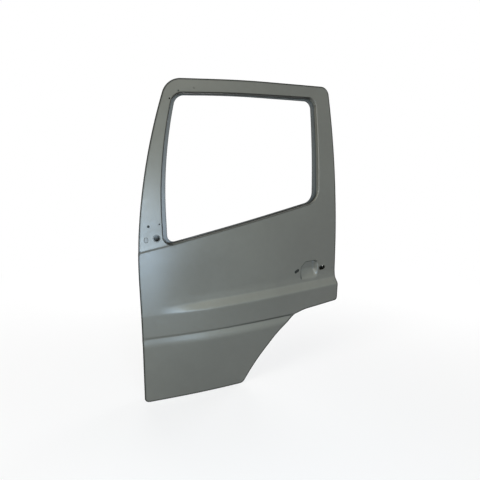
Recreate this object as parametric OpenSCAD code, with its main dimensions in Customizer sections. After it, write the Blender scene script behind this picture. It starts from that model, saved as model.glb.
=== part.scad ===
/* [Door] */
// Width of the door over the skin, front edge to rear edge
door_w = 1056; // [1036:4:1076]
// Height of the door over the skin
door_h = 1474; // [1450:4:1500]
// Thickness of the skin and of the inner pressings
sheet_t = 1.2; // [1:0.1:1.6]
// Inner face of the door below the belt, measured from the skin's rear plane
inner_y = 86; // [82:1:96]
// Radius of the raked front edge
rake_r = 2180; // [2000:20:2400]
// Width of the hem folded round the inner flange
hem_w = 11; // [8:1:14]

/* [Skin form] */
// Where across the door the skin lies furthest out
crown_x = 650; // [600:10:700]
// Plan radius of the skin ahead of that place
crown_r = 4200; // [3800:100:5000]
// How far the front of the door toes outward
toe = 22; // [10:1:30]
// Height at which the skin starts to lean inward
lean_z = 650; // [600:10:700]
// Radius of that lean
lean_r = 3100; // [2800:50:3600]
// How far the lower panel stands proud of the panel above the shelf
shelf_out = 31; // [24:1:34]
// Height of the shelf's lower edge at the front
shelf_z = 436; // [426:1:446]
// Height of the pressed crease in the lower panel
crease_z = 332; // [322:1:342]

/* [Window] */
// Front edge of the window opening
window_x = 116; // [112:1:124]
// Height of the sill where it meets the front edge
sill_z = 752; // [744:1:760]
// Rise of the sill for each unit of its length
sill_rise = 0.186; // [0.17:0.004:0.2]
// Depth of the skin's turned-in lip round the window
lip_depth = 12; // [8:1:14]
// Depth of the glass flange behind the skin
glass_depth = 27; // [24:1:30]
// Depth of the window frame behind the skin
frame_depth = 46; // [42:1:52]

/* [Hinge side] */
// Hinge face, set back from the skin's front edge
hinge_x = 16; // [14:1:20]
// Height of the lower hinge
hinge_low_z = 140; // [130:5:170]
// Height of the upper hinge
hinge_high_z = 600; // [570:5:620]
// Height of the door check
check_z = 290; // [280:5:310]
// Hinge bolt spacing along the depth of the door
hinge_bolt_y = 26; // [22:1:28]
// Hinge bolt spacing along the height
hinge_bolt_z = 60; // [50:2:70]
// Radius of a hinge bolt hole
hinge_hole_r = 5.5; // [4.5:0.5:6]

/* [Latch side] */
// Latch face
latch_x = 1020; // [1016:1:1024]
// Height of the latch
latch_z = 548; // [540:1:560]
// Diameter of the circle of latch screws
latch_pcd = 64; // [60:1:68]
// Radius of a latch screw hole
latch_hole_r = 4.5; // [3.5:0.5:5]

/* [Handle] */
// Middle of the handle pocket across the door
pocket_x = 888; // [880:1:896]
// Middle of the handle pocket in height
pocket_z = 540; // [536:1:546]
// Width of the pocket's mouth
pocket_w = 118; // [100:2:124]
// Height of the pocket's mouth
pocket_h = 100; // [90:2:106]
// Depth of the pocket
pocket_depth = 27; // [20:1:32]

/* [Hidden] */

skin_colour = "#8b918d";
inner_colour = "#7d827c";
steel_colour = "#6f746f";
hinge_y = 57;
hinge_mid_z = (hinge_low_z + hinge_high_z) / 2;
latch_y = 46;
latch_plate_y = 47;
latch_plate_w = 74;
latch_plate_h = 96;
hinge_plate_h = 110;
hinge_plate_leg = 26;
plate_t = 3;
bracket_t = 2;
bracket_l = 100;
bracket_w = 44;
bracket_h = 64;
guide_w = 18;
guide_head = 46;
guide_foot = 24;
hem_gap = 0.1;
step_w = 10;
frame_lap = 60;
pocket_near = -9;
press_depth = 5;
opening_lip = 6;
reach = 400;

// Corners of the door's edge, each with its fillet radius, anticlockwise seen from outside
door_corners = [
    [0, 0, 22],
    [495, 0, 30],
    [560, 110, 900],
    [690, 262, 560],
    [800, 342, 220],
    [door_w, 360, 16],
    [door_w - 18, 900, 4000],
    [door_w - 34, door_h - 12, 42],
    [540, door_h, 6000],
    [180, door_h - 4, 66],
    [0, 1014, rake_r],
];

// Corners of the inner pressings' walls, drawn as if on the door's edge: the latch face is flat
wall_x = latch_x + hinge_x;
lower_wall_corners = [
    for (i = [0:4]) door_corners[i],
    [wall_x, 342 + 18 * (wall_x - 800) / (door_w - 800), 20],
];
wall_corners = concat(lower_wall_corners, [[wall_x, 968, 3000]], [for (i = [7:10]) door_corners[i]]);

function sill_at(x) = sill_z + sill_rise * (x - window_x);
function ledge_at(x) = sill_at(x) - frame_lap + hinge_x * sqrt(1 + sill_rise * sill_rise);
panel_corners = concat(lower_wall_corners, [[wall_x, ledge_at(wall_x), 17], [0, ledge_at(0), 17]]);

// Corners of the window opening in the skin
window_corners = [
    [window_x, sill_z, 38],
    [927, sill_at(927), 75],
    [940, 1389, 42],
    [480, 1409, 5000],
    [205, 1405, 46],
    [window_x, 1123, 1650],
];

// Corners of the glass flange's free edge, seen inside the window opening
flange_x = window_x + 22;
flange_corners = [
    [flange_x, sill_at(flange_x) + 6, 28],
    [905, sill_at(905) + 6, 55],
    [918, 1382, 36],
    [480, 1401, 5000],
    [221, 1397, 38],
    [flange_x, 1130, 1650],
];

// Mouth and floor of the handle pocket; the mouth's upper front corner is cut off
pocket_mouth = [
    [pocket_x - pocket_w / 2, pocket_z - pocket_h / 2, 24],
    [pocket_x + pocket_w / 2, pocket_z - pocket_h / 2, 24],
    [pocket_x + pocket_w / 2, pocket_z + pocket_h / 2, 24],
    [pocket_x - pocket_w / 2 + 32, pocket_z + pocket_h / 2, 20],
    [pocket_x - pocket_w / 2, pocket_z + pocket_h / 2 - 32, 20],
];
pocket_floor = [
    [pocket_x - pocket_w / 2 + 16, pocket_z - 4, 12],
    [pocket_x + pocket_w / 2 - 16, pocket_z - 4, 12],
    [pocket_x + pocket_w / 2 - 16, pocket_z + pocket_h / 2 - 14, 14],
    [pocket_x - pocket_w / 2 + 34, pocket_z + pocket_h / 2 - 14, 14],
    [pocket_x - pocket_w / 2 + 16, pocket_z + pocket_h / 2 - 32, 14],
];

function unit(v) = v / norm(v);
function inward(a, b) = let (d = unit(b - a)) [-d.y, d.x];
function moved_corner(a, p, b, d) = let (m = inward(a, p), n = inward(p, b)) p + d * (m + n) / (1 + m * n);
function turn(a, p, b) =
    let (u = unit(p - a), v = unit(b - p))
    atan2(u.x * v.y - u.y * v.x, u * v);

// A long shallow arc is drawn in finer steps than a tight corner
function arc_step(r) = r > 500 ? 3 : r > 100 ? 6 : r > 30 ? 15 : 20;
function fillet(a, p, b, r) =
    let (
        u = unit(p - a),
        phi = turn(a, p, b),
        start = p - u * r * tan(abs(phi) / 2),
        c = start + sign(phi) * r * [-u.y, u.x],
        a0 = atan2(start.y - c.y, start.x - c.x),
        n = max(1, ceil(abs(phi) / arc_step(r)))
    )
    [for (i = [0:n]) c + r * [cos(a0 + phi * i / n), sin(a0 + phi * i / n)]];

// Outline with rounded corners, moved inward by d
function rounded(corners, d = 0) =
    let (
        n = len(corners),
        flat = [for (c = corners) [c.x, c.y]],
        q = [for (i = [0:n - 1]) moved_corner(flat[(i + n - 1) % n], flat[i], flat[(i + 1) % n], d)]
    )
    [for (i = [0:n - 1])
        let (
            a = q[(i + n - 1) % n],
            b = q[(i + 1) % n],
            r = corners[i].z - d * sign(turn(a, q[i], b))
        )
        each fillet(a, q[i], b, max(1, r))];

function box_corners(x0, z0, x1, z1, r) = [[x0, z0, r], [x1, z0, r], [x1, z1, r], [x0, z1, r]];

// Skin surface: crown across the door, lean up it, and the pressed lines of the lower panel
function crown(x) =
    (x < crown_x ? pow(crown_x - x, 2) / (2 * crown_r) : pow(x - crown_x, 2) / 24000) - toe * (1 - x / door_w);
function lean(z) = z > lean_z ? pow(z - lean_z, 2) / (2 * lean_r) : 0;
function blend(t) = let (c = min(1, max(0, t))) c * c * (3 - 2 * c);
function rear_line(v) = -shelf_out * lookup(v, [
    [0, 0.13],
    [crease_z - 37, 0.94],
    [crease_z - 4, 0.61],
    [crease_z + 2, 0.8],
    [shelf_z + 4, 1],
    [shelf_z + 46, 0.1],
    [shelf_z + 84, 0],
]);
function front_line(v) = -shelf_out * lookup(v, [
    [0, 0.06],
    [crease_z - 37, 0.52],
    [crease_z - 4, 0.4],
    [crease_z + 2, 0.48],
    [shelf_z + 4, 0.52],
    [560, 0.32],
    [700, 0.06],
    [750, 0],
]);

// The sill's line runs on to the front edge as a pressed step
belt_v = 734;
function belt_line(x, v) =
    -3 * lookup(v - belt_v, [[-6, 0], [0, 1], [60, 0]]) * (1 - blend((x - 170) / 90));

// A row of the grid follows the shelf low down and the sill higher up
function rise(v) = lookup(v, [[340, 0], [440, 16], [520, 16], [belt_v, 190], [belt_v + 60, 190], [1300, 0]]);
function row_z(x, v) = v + rise(v) * x / door_w;
function skin_y(x, v) =
    let (s = blend((x - 60) / 300))
    crown(x) + lean(row_z(x, v)) + s * rear_line(v) + (1 - s) * front_line(v) + belt_line(x, v);

columns = [-20, 67, 114, 177, 246, 288, 370, 473, 616, 745, 865, 1075];
low_rows = [-20, 99, 189, crease_z - 37, crease_z - 4, crease_z + 2, 395, shelf_z + 4,
    shelf_z + 25, shelf_z + 46, shelf_z + 84, 581, 643, 709, belt_v - 6, belt_v, belt_v + 60];
high_rows = [643, 709, belt_v - 6, belt_v, belt_v + 60, 892, 995, 1098, 1201, 1290, 1411, 1500];
all_rows = concat([for (v = low_rows) if (v < 640) v], high_rows);

// Solid between two depths behind the skin surface, or from a depth out to a flat plane
module layer(near, far, rows = all_rows, flat = false) {
    nx = len(columns);
    nz = len(rows);
    front = [for (v = rows) for (x = columns) [x, skin_y(x, v) + near, row_z(x, v)]];
    back = [for (v = rows) for (x = columns) [x, flat ? far : skin_y(x, v) + far, row_z(x, v)]];
    k = nx * nz;
    polyhedron(
        points = concat(front, back),
        faces = concat(
            [for (j = [0:nz - 2]) for (i = [0:nx - 2]) each let (a = j * nx + i)
                [[a, a + nx, a + nx + 1], [a, a + nx + 1, a + 1]]],
            [for (j = [0:nz - 2]) for (i = [0:nx - 2]) each let (a = k + j * nx + i)
                [[a, a + nx + 1, a + nx], [a, a + 1, a + nx + 1]]],
            [for (i = [0:nx - 2]) [i, i + 1, k + i + 1, k + i]],
            [for (i = [0:nx - 2]) let (a = (nz - 1) * nx + i) [a + 1, a, k + a, k + a + 1]],
            [for (j = [0:nz - 2]) let (a = j * nx) [a + nx, a, k + a, k + a + nx]],
            [for (j = [0:nz - 2]) let (a = j * nx + nx - 1) [a, a + nx, k + a + nx, k + a]]
        )
    );
}

// Prism through the whole door from an outline drawn on its side view
module through() {
    rotate([90, 0, 0]) linear_extrude(height = 2 * reach, center = true) children();
}

// Prism from one depth to another, measured inward from the skin's rear plane
module slab(y0, y1) {
    translate([0, y1, 0]) rotate([90, 0, 0]) linear_extrude(height = y1 - y0) children();
}

// Everything is drawn from the skin's front bottom corner and set with the hinge face on the origin
module placed(colour) {
    color(colour) translate([-hinge_x, -hinge_y, -hinge_mid_z]) children();
}

// A curved pressing is one mesh
module pressing() {
    resize([0, 0, 0]) union() children();
}

module wall_outline(d) {
    polygon(rounded(wall_corners, d));
}

// Solid whose outline is drawn in at each of its [inset, depth] steps
module drawn_in(corners, steps) {
    rings = [for (s = steps) [for (p = rounded(corners, s.x)) [p.x, s.y, p.y]]];
    n = len(rings[0]);
    last = (len(steps) - 1) * n;
    polyhedron(
        points = [for (ring = rings) each ring],
        faces = concat(
            [[for (i = [n - 1:-1:0]) i], [for (i = [0:n - 1]) last + i]],
            [for (k = [0:len(steps) - 2]) for (i = [0:n - 1])
                let (a = k * n + i, b = k * n + (i + 1) % n) [a, b, b + n, a + n]]
        )
    );
}

// Half plane below the line that runs a fixed distance under the sill
module under_sill(drop) {
    polygon([[-50, -50], [1150, -50], [1150, sill_at(1150) - drop], [-50, sill_at(-50) - drop]]);
}

module along_sill(top, bottom, x0, x1) {
    intersection() {
        difference() {
            under_sill(top);
            under_sill(bottom);
        }
        translate([x0, 0]) square([x1 - x0, 2000]);
    }
}

// Flange that the skin's hem is folded over, with room for the adhesive on both sides
module hem_flange(rows) {
    intersection() {
        layer(sheet_t + hem_gap, 2 * sheet_t + hem_gap, rows);
        through() difference() {
            polygon(rounded(door_corners, 1.5 * sheet_t));
            wall_outline(hinge_x + sheet_t / 2);
        }
    }
}

module pocket_plan(grow) {
    polygon(rounded(pocket_mouth, -grow));
}

// The pocket's cup: deepest under its upper edge, running out towards the lower one
module pocket_form(grow) {
    hull() {
        slab(-reach / 8, pocket_near) pocket_plan(grow);
        slab(pocket_depth + grow - 1, pocket_depth + grow) polygon(rounded(pocket_floor, -grow));
    }
}

module skin_holes() {
    mirror_holes(0);
    translate([187, 1383]) circle(r = 3.5, $fn = 12);
    translate([229, 1416]) circle(r = 3.5, $fn = 12);
    translate([300, 1429]) circle(r = 3, $fn = 12);
    handle_holes(0);
    translate([1027, 540]) circle(r = 4, $fn = 12);
    translate([1030, 470]) circle(r = 3, $fn = 12);
    translate([1040, 385]) circle(r = 3, $fn = 12);
}

module mirror_holes(grow) {
    translate([87, 792]) circle(r = 15 + grow, $fn = 28);
    translate([102, 853]) circle(r = 4 + grow, $fn = 12);
    translate([54, 846]) circle(r = 6 + grow, $fn = 16);
    hull() {
        translate([41, 790]) circle(r = 7.5 + grow, $fn = 16);
        translate([41, 784]) circle(r = 7.5 + grow, $fn = 16);
    }
}

module handle_holes(grow) {
    hull() {
        translate([797, 542]) circle(r = 7 + grow, $fn = 16);
        translate([809, 542]) circle(r = 7 + grow, $fn = 16);
    }
    translate([968, 550]) circle(r = 15 + grow, $fn = 28);
    translate([991, 549]) circle(r = 11 + grow, $fn = 20);
}

module outer_skin() {
    placed(skin_colour) pressing() difference() {
        union() {
            // The sheet, its edge and the hem folded back behind the inner flange
            difference() {
                intersection() {
                    layer(0, 3 * sheet_t + 2 * hem_gap);
                    through() polygon(rounded(door_corners));
                }
                intersection() {
                    layer(sheet_t, 2 * sheet_t + 2 * hem_gap);
                    through() polygon(rounded(door_corners, sheet_t));
                }
                intersection() {
                    layer(1.5 * sheet_t, 6 * sheet_t);
                    through() polygon(rounded(door_corners, hem_w));
                }
            }
            intersection() {
                layer(sheet_t / 2, lip_depth);
                through() polygon(rounded(window_corners, -sheet_t));
            }
            intersection() {
                layer(sheet_t / 2, 3 * pocket_depth);
                pocket_form(sheet_t);
            }
        }
        through() polygon(rounded(window_corners));
        pocket_form(0);
        through() skin_holes();
    }
}

module hinge_hole_pattern(z, r, sides) {
    for (y = [-1, 1]) for (h = [-1, 1])
        translate([hinge_x - 5, hinge_y + y * hinge_bolt_y / 2, z + h * hinge_bolt_z / 2])
            rotate([0, 90, 0]) cylinder(h = 20, r = r, $fn = sides);
}

module latch_hole_pattern(r, sides) {
    for (a = [90, 210, 330])
        translate([latch_x - 12, latch_y + latch_pcd / 2 * cos(a), latch_z + latch_pcd / 2 * sin(a)])
            rotate([0, 90, 0]) cylinder(h = 20, r = r, $fn = sides);
}

module check_slot(grow) {
    translate([hinge_x - 5, hinge_y - 9 - grow, check_z - 22 - grow])
        cube([20, 18 + 2 * grow, 44 + 2 * grow]);
}

module latch_mouth(grow) {
    translate([latch_x - 12, latch_y - 13 - grow, latch_z - 20 - grow])
        cube([20, 26 + 2 * grow, 40 + 2 * grow]);
}

// Openings in the inner face, grown by a sheet's thickness where their lips are turned in
module service_openings(grow) {
    polygon(rounded([[190, 430, 40], [500, 430, 40], [500, 660, 40], [190, 610, 40]], -grow));
    polygon(rounded([[560, 440, 40], [895, 440, 40], [895, 700, 50], [560, 670, 40]], -grow));
    translate([200, 215]) circle(r = 80 + grow, $fn = 32);
}

// Fields pressed into the inner face: round the service openings, round the speaker, and a bead between
module pressed_fields(grow) {
    polygon(rounded([[160, 400, 50], [912, 400, 50], [912, 752, 60], [160, 645, 50]], -grow));
    translate([200, 215]) circle(r = 97 + grow, $fn = 32);
    polygon(rounded(box_corners(330, 338, 560, 362, 11.9), -grow));
}

module clip_holes() {
    for (z = [90, 250, 410, 570]) translate([50, z]) circle(r = 4.5, $fn = 12);
    for (z = [440, 640, 800]) translate([985, z]) circle(r = 4.5, $fn = 12);
    for (x = [180, 320, 440]) translate([x, 50]) circle(r = 4.5, $fn = 12);
}

module inner_panel() {
    floor_y = inner_y - press_depth;
    placed(inner_colour) pressing() {
        difference() {
            union() {
                difference() {
                    intersection() {
                        layer(sheet_t, inner_y + 1, low_rows, true);
                        drawn_in(panel_corners, [[hinge_x, -reach / 4], [hinge_x, inner_y - 5.5],
                            [hinge_x + 1.7, inner_y - 1.7], [hinge_x + 5.5, inner_y]]);
                    }
                    intersection() {
                        layer(-5, inner_y + 1, low_rows, true);
                        drawn_in(panel_corners, [[hinge_x + sheet_t, -reach / 4],
                            [hinge_x + sheet_t, inner_y - 6], [hinge_x + 2.7, inner_y - 2.7],
                            [hinge_x + 6, inner_y - sheet_t]]);
                    }
                    slab(floor_y - sheet_t, inner_y + 10) pressed_fields(sheet_t);
                }
                slab(floor_y - sheet_t, floor_y) pressed_fields(sheet_t / 2);
                difference() {
                    slab(floor_y - sheet_t / 2, inner_y) pressed_fields(sheet_t);
                    slab(floor_y - sheet_t, inner_y + 10) pressed_fields(0);
                }
                slab(floor_y - opening_lip, floor_y - sheet_t / 2) service_openings(sheet_t);
            }
            // The ledge under the sill is open towards the glass
            intersection() {
                layer(-5, frame_depth - sheet_t, high_rows);
                through() along_sill(frame_lap - 20, frame_lap + 20, hinge_x + 3, latch_x - 3);
            }
            slab(floor_y - 10, inner_y + 10) {
                service_openings(0);
                polygon(rounded(box_corners(350, 130, 460, 230, 25)));
                translate([955, 545]) circle(r = 22, $fn = 32);
                clip_holes();
            }
            hinge_hole_pattern(hinge_low_z, hinge_hole_r + 1.5, 14);
            hinge_hole_pattern(hinge_high_z, hinge_hole_r + 1.5, 14);
            check_slot(0);
            latch_hole_pattern(latch_hole_r + 1, 14);
            latch_mouth(0);
        }
        intersection() {
            hem_flange(low_rows);
            through() under_sill(frame_lap + 0.3);
        }
    }
}

module window_frame() {
    placed(inner_colour) pressing() {
        difference() {
            union() {
                difference() {
                    intersection() {
                        layer(sheet_t, frame_depth, high_rows);
                        through() difference() {
                            wall_outline(hinge_x);
                            under_sill(frame_lap);
                        }
                    }
                    intersection() {
                        layer(-5, frame_depth - sheet_t, high_rows);
                        through() wall_outline(hinge_x + sheet_t);
                    }
                }
                intersection() {
                    layer(glass_depth, frame_depth - sheet_t / 2, high_rows);
                    through() polygon(rounded(window_corners, -step_w - sheet_t));
                }
            }
            intersection() {
                layer(glass_depth + sheet_t, frame_depth + 10, high_rows);
                through() polygon(rounded(window_corners, -step_w));
            }
            through() polygon(rounded(flange_corners));
        }
        difference() {
            hem_flange(high_rows);
            through() under_sill(frame_lap - 0.3);
        }
    }
}

// Hat section lying along the sill between two depths, its crown towards the far one
module sill_hat(foot, crest, top, bottom, x0, x1) {
    t = sign(crest - foot) * sheet_t;
    difference() {
        union() {
            intersection() {
                layer(min(foot, foot + t), max(foot, foot + t), high_rows);
                through() along_sill(top, bottom, x0, x1);
            }
            intersection() {
                layer(min(foot, crest), max(foot, crest), high_rows);
                through() along_sill(top + 10, bottom - 10, x0, x1);
            }
        }
        intersection() {
            layer(min(foot - 5 * t, crest - t), max(foot - 5 * t, crest - t), high_rows);
            through() along_sill(top + 10 + sheet_t, bottom - 10 - sheet_t, x0 - 1, x1 + 1);
        }
    }
}

module outer_belt_rail() {
    placed(steel_colour) pressing()
        sill_hat(foot = sheet_t, crest = 13, top = 8, bottom = 52, x0 = 140, x1 = 1005);
}

module inner_belt_rail() {
    placed(steel_colour) pressing()
        sill_hat(foot = frame_depth - sheet_t, crest = 34, top = 16, bottom = 56, x0 = 140, x1 = 1003);
}

// Bow that steadies the skin between the belt and the shelf, welded to both walls
module skin_brace() {
    brace_z = 600;
    brace_h = 34;
    brace_near = 3;
    brace_far = 15;
    placed(steel_colour) pressing() intersection() {
        through() intersection() {
            wall_outline(hinge_x + sheet_t);
            translate([0, brace_z]) square([1100, brace_h]);
        }
        difference() {
            layer(brace_near, brace_far, low_rows);
            intersection() {
                layer(-5, brace_far - sheet_t, low_rows);
                through() translate([0, brace_z + sheet_t]) square([1100, brace_h - 2 * sheet_t]);
            }
        }
    }
}

beam_r = 16;
beam_front = [62, 34, 370];
beam_rear = [980, 8, 420];

module tube_between(a, b, r, bore) {
    d = b - a;
    translate(a) rotate([0, acos(d.z / norm(d)), atan2(d.y, d.x)]) difference() {
        cylinder(h = norm(d), r = r, $fn = 48);
        translate([0, 0, -1]) cylinder(h = norm(d) + 2, r = bore, $fn = 48);
    }
}

module intrusion_beam() {
    placed(steel_colour) tube_between(beam_front, beam_rear, beam_r, beam_r - 2);
}

// Angle under one end of the beam: a leg on the wall and a leg that the tube rests on
module beam_bracket(wall, side, middle) {
    x = side > 0 ? wall : wall - bracket_t;
    placed(steel_colour) difference() {
        union() {
            translate([x, middle.y - 20, middle.z - bracket_h / 2]) cube([bracket_t, bracket_w, bracket_h]);
            translate([side > 0 ? wall : wall - bracket_l, middle.y + beam_r, middle.z - bracket_h / 2])
                cube([bracket_l, bracket_t, bracket_h]);
        }
        for (h = [-22, 22])
            translate([wall + side * (bracket_l - 18), middle.y, middle.z + h])
                rotate([-90, 0, 0]) cylinder(h = 60, r = 5, $fn = 32);
    }
}
module beam_bracket_front() beam_bracket(hinge_x + sheet_t, 1, beam_front);
module beam_bracket_rear() beam_bracket(latch_x - sheet_t, -1, beam_rear);

// Angle behind the hinge wall, one leg on the wall and one on the inner face
module hinge_plate(z) {
    placed(steel_colour) difference() {
        union() {
            translate([hinge_x + sheet_t, hinge_y - 24, z - hinge_plate_h / 2])
                cube([plate_t, inner_y - sheet_t - hinge_y + 24, hinge_plate_h]);
            translate([hinge_x + sheet_t, inner_y - sheet_t - plate_t, z - hinge_plate_h / 2])
                cube([hinge_plate_leg, plate_t, hinge_plate_h]);
        }
        hinge_hole_pattern(z, hinge_hole_r, 32);
    }
}
module hinge_plate_upper() hinge_plate(hinge_high_z);
module hinge_plate_lower() hinge_plate(hinge_low_z);

module check_plate() {
    placed(steel_colour) difference() {
        translate([hinge_x + sheet_t, hinge_y - 24, check_z - 50]) cube([2, 48, 100]);
        check_slot(1);
        for (h = [-36, 36])
            translate([hinge_x - 5, hinge_y, check_z + h]) rotate([0, 90, 0]) cylinder(h = 20, r = 4.2, $fn = 32);
    }
}

// Angle behind the rear wall, tapped for the latch screws
module latch_plate() {
    foot = latch_z - 46;
    placed(steel_colour) difference() {
        union() {
            translate([latch_x - sheet_t - plate_t, latch_plate_y - latch_plate_w / 2, foot])
                cube([plate_t, latch_plate_w, latch_plate_h]);
            translate([latch_x - sheet_t - 30, inner_y - sheet_t - plate_t, foot]) cube([30, plate_t, latch_plate_h]);
        }
        latch_hole_pattern(latch_hole_r, 32);
        latch_mouth(1);
    }
}

module handle_plate() {
    placed(steel_colour) pressing() difference() {
        intersection() {
            layer(sheet_t, sheet_t + 1.5, low_rows);
            through() polygon(rounded(box_corners(778, 478, 1012, 602, 20)));
        }
        through() {
            pocket_plan(2);
            handle_holes(4);
        }
    }
}

module mirror_plate() {
    placed(steel_colour) pressing() difference() {
        intersection() {
            layer(sheet_t, sheet_t + 2, high_rows);
            through() intersection() {
                polygon(rounded([[22, 748, 12], [110, 763, 12], [112, 875, 12], [40, 878, 12]]));
                wall_outline(hinge_x + 3);
            }
        }
        through() mirror_holes(2);
    }
}

// Channel for the glass edge, open towards the glass, with two feet on the inner face
module glass_guide(x, y, side, z0, z1) {
    wall = 1.5;
    depth = 15;
    floor_y = inner_y - sheet_t;
    placed(steel_colour) union() {
        difference() {
            translate([x - guide_w / 2, y, z0]) cube([guide_w, depth, z1 - z0]);
            translate([x - guide_w / 2 + (side > 0 ? wall : -1), y + wall, z0 - 1])
                cube([guide_w - wall + 1, depth - 2 * wall, z1 - z0 + 2]);
        }
        for (z = [z0, z1 - guide_head]) {
            translate([x - guide_w / 2, y + depth - wall, z]) cube([guide_w, floor_y - y - depth + wall, wall]);
            translate([x - guide_w / 2, floor_y - wall, z]) cube([guide_w, wall, guide_foot]);
        }
    }
}
module glass_guide_front() glass_guide(x = 142, y = 36, side = 1, z0 = 350, z1 = 690);
module glass_guide_rear() glass_guide(x = 925, y = 22, side = -1, z0 = 480, z1 = 830);

outer_skin();
inner_panel();
window_frame();
outer_belt_rail();
inner_belt_rail();
skin_brace();
intrusion_beam();
beam_bracket_front();
beam_bracket_rear();
hinge_plate_upper();
hinge_plate_lower();
check_plate();
latch_plate();
handle_plate();
mirror_plate();
glass_guide_front();
glass_guide_rear();
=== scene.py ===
import math

import bmesh
import bpy
import numpy as np
from mathutils import Matrix, Vector
from mathutils.geometry import delaunay_2d_cdt


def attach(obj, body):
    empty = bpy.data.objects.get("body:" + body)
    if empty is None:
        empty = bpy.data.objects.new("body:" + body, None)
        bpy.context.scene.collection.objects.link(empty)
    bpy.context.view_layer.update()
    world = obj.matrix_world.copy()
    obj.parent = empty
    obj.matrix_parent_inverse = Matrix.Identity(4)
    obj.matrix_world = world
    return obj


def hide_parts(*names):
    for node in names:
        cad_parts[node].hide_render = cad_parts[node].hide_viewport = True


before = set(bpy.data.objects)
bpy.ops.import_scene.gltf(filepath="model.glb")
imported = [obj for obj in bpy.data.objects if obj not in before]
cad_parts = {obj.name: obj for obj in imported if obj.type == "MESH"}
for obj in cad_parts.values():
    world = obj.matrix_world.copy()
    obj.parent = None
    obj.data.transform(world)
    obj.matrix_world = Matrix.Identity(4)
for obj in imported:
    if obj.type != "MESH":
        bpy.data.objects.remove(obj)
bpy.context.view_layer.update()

scene = bpy.context.scene

# Camera. The door was photographed from ahead of its hinge edge and from above
# its middle, looking back along the cab side and down at the sill.
CAMERA_PLACE = (-0.432, -1.910, 0.897)
CAMERA_YAW, CAMERA_PITCH, CAMERA_ROLL = -25.81, -14.13, 0.30
FOCAL_LENGTH, FILM_WIDTH = 33.8, 36.0

yaw, pitch, roll = (math.radians(a) for a in (CAMERA_YAW, CAMERA_PITCH, CAMERA_ROLL))
turn = Matrix.Rotation(yaw, 3, "Z")
ahead = turn @ Vector((0, math.cos(pitch), math.sin(pitch)))
top = turn @ Vector((0, -math.sin(pitch), math.cos(pitch)))
side = turn @ Vector((1, 0, 0))
right = math.cos(roll) * side + math.sin(roll) * top
upward = math.cos(roll) * top - math.sin(roll) * side
camera = bpy.data.objects.new("camera", bpy.data.cameras.new("camera"))
camera.data.lens, camera.data.sensor_width = FOCAL_LENGTH, FILM_WIDTH
camera.matrix_world = Matrix.Translation(CAMERA_PLACE) @ Matrix((right, upward, -ahead)).transposed().to_4x4()
scene.collection.objects.link(camera)
scene.camera = camera

# Studio. A pale floor that pales out into a white surround. The broadest light
# stands ahead of the hinge edge, weaker ones face the door, and others stand
# over it, behind it and off its latch edge.
FLOOR_Z, FLOOR_HALF = -0.374, 20.0
FLOOR_MIDDLE_X = 0.5
SHADOW_FROM, SHADOW_REACH, SHADOW_SHARE = 0.5, 2.6, 0.72
WHITE = (1, 1, 1, 1)


def soft_box(name, place, aim, size, power, colour=(1, 1, 1)):
    light = bpy.data.lights.new(name, "AREA")
    light.shape, light.size, light.size_y = "RECTANGLE", size[0], size[1]
    light.energy, light.color = power, colour
    made = bpy.data.objects.new(name, light)
    made.location = place
    made.rotation_euler = (Vector(aim) - Vector(place)).to_track_quat("-Z", "Y").to_euler()
    made.visible_camera = False
    scene.collection.objects.link(made)


def remap(nodes, links, value, source, target, easing="LINEAR"):
    """A node that carries one range of a value over to another. Returns its output."""
    node = nodes.new("ShaderNodeMapRange")
    node.interpolation_type = easing
    for label, number in zip(("From Min", "From Max", "To Min", "To Max"), source + target):
        node.inputs[label].default_value = number
    links.new(value, node.inputs["Value"])
    return node.outputs["Result"]


def seen_directly(nodes, links):
    """1 for what the camera, a reflection or clear glass sees, 0 for what only lights."""
    path = nodes.new("ShaderNodeLightPath")
    value = path.outputs["Is Camera Ray"]
    for other in ("Is Glossy Ray", "Is Transmission Ray"):
        node = nodes.new("ShaderNodeMath")
        node.operation = "MAXIMUM"
        links.new(value, node.inputs[0])
        links.new(path.outputs[other], node.inputs[1])
        value = node.outputs["Value"]
    return value


floor_paint = bpy.data.materials.new("studio_white")
floor_paint.use_nodes = True
nodes, links = floor_paint.node_tree.nodes, floor_paint.node_tree.links
nodes["Principled BSDF"].inputs["Base Color"].default_value = (0.8, 0.8, 0.8, 1)
nodes["Principled BSDF"].inputs["Roughness"].default_value = 0.9
place = nodes.new("ShaderNodeTexCoord")
gap = nodes.new("ShaderNodeVectorMath")
gap.operation = "LENGTH"
links.new(place.outputs["Object"], gap.inputs[0])
paling = remap(nodes, links, gap.outputs["Value"],
               (SHADOW_FROM, SHADOW_REACH), (SHADOW_SHARE, 1.0), "SMOOTHSTEP")
share = nodes.new("ShaderNodeMath")
share.operation = "MULTIPLY"
links.new(seen_directly(nodes, links), share.inputs[0])
links.new(paling, share.inputs[1])
white = nodes.new("ShaderNodeEmission")
white.inputs["Color"].default_value = WHITE
white.inputs["Strength"].default_value = 1.0
either = nodes.new("ShaderNodeMixShader")
links.new(share.outputs["Value"], either.inputs["Fac"])
links.new(nodes["Principled BSDF"].outputs["BSDF"], either.inputs[1])
links.new(white.outputs["Emission"], either.inputs[2])
links.new(either.outputs["Shader"], nodes["Material Output"].inputs["Surface"])

floor_mesh = bpy.data.meshes.new("studio_floor")
corners = [(FLOOR_HALF * a, FLOOR_HALF * b, 0) for a, b in ((-1, -1), (1, -1), (1, 1), (-1, 1))]
floor_mesh.from_pydata(corners, [], [(0, 1, 2, 3)])
floor_mesh.materials.append(floor_paint)
floor = bpy.data.objects.new("studio_floor", floor_mesh)
floor.location = (FLOOR_MIDDLE_X, 0, FLOOR_Z)
scene.collection.objects.link(floor)

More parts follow.
